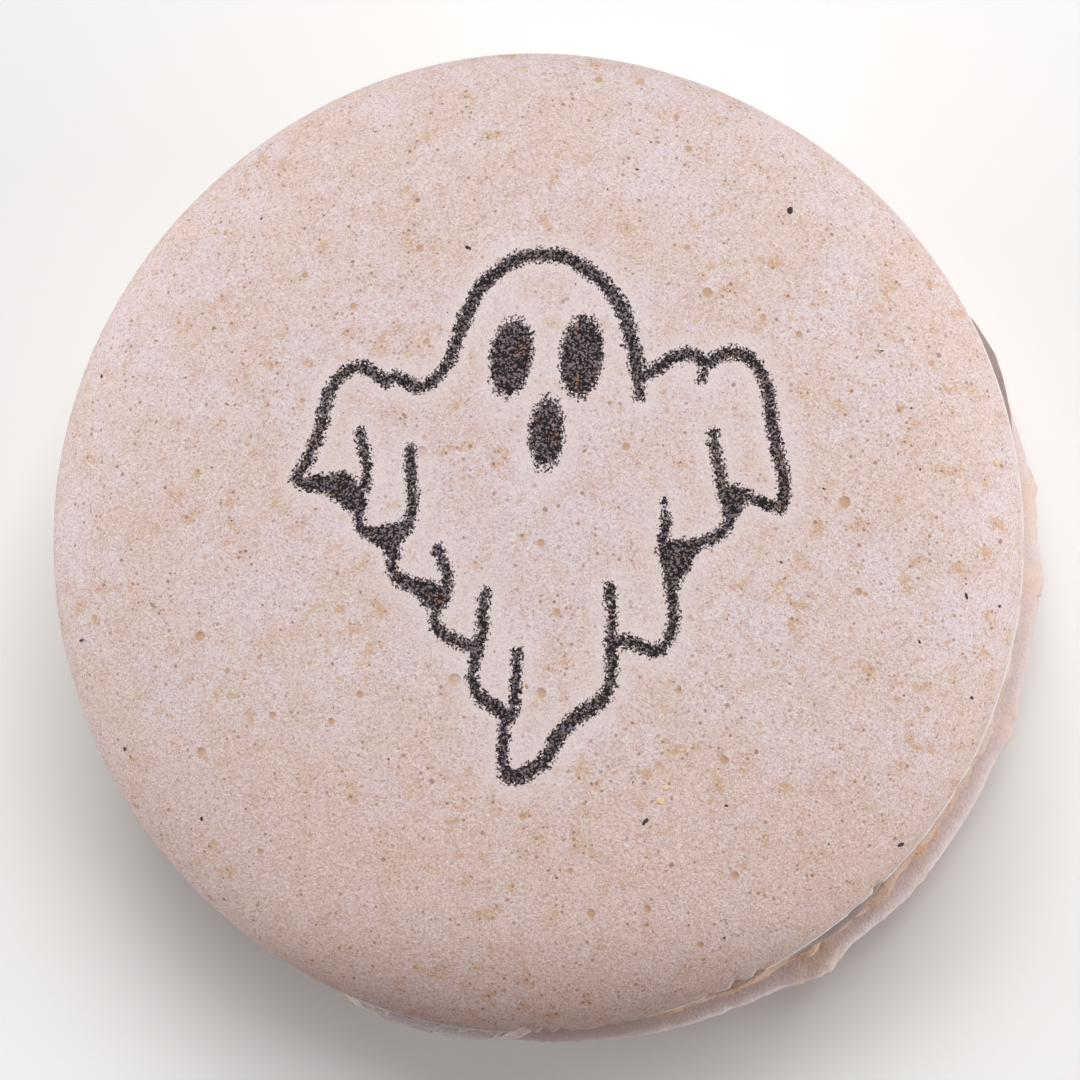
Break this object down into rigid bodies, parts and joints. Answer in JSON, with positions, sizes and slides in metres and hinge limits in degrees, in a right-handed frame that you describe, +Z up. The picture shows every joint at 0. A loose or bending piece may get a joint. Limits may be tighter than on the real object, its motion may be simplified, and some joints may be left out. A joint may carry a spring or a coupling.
{
  "type": "french macaron",
  "caption": "Round sandwich biscuit: smooth domed almond shells on ruffled feet, pressed on a disc of ganache, with the upper shell tilted slightly open on one side.",
  "frame": {"origin": "bottom centre of the bounding box, on the level that the lower shell's crown rests on", "axes": "+Z up through both shells; +Y towards the top of the printed ghost; the open side is between +X and -Y"},
  "size_m": [0.046, 0.046, 0.021],
  "materials": {
    "shell": "matt baked almond meringue, pinkish beige with fine grain, tan pores and small brown and dark specks",
    "filling": "smooth soft ganache, grey-taupe with a slight sheen"
  },
  "bodies": {
    "root": {"bottom_shell": "shell", "filling": "filling", "top_shell": "shell"}
  },
  "joints": []
}
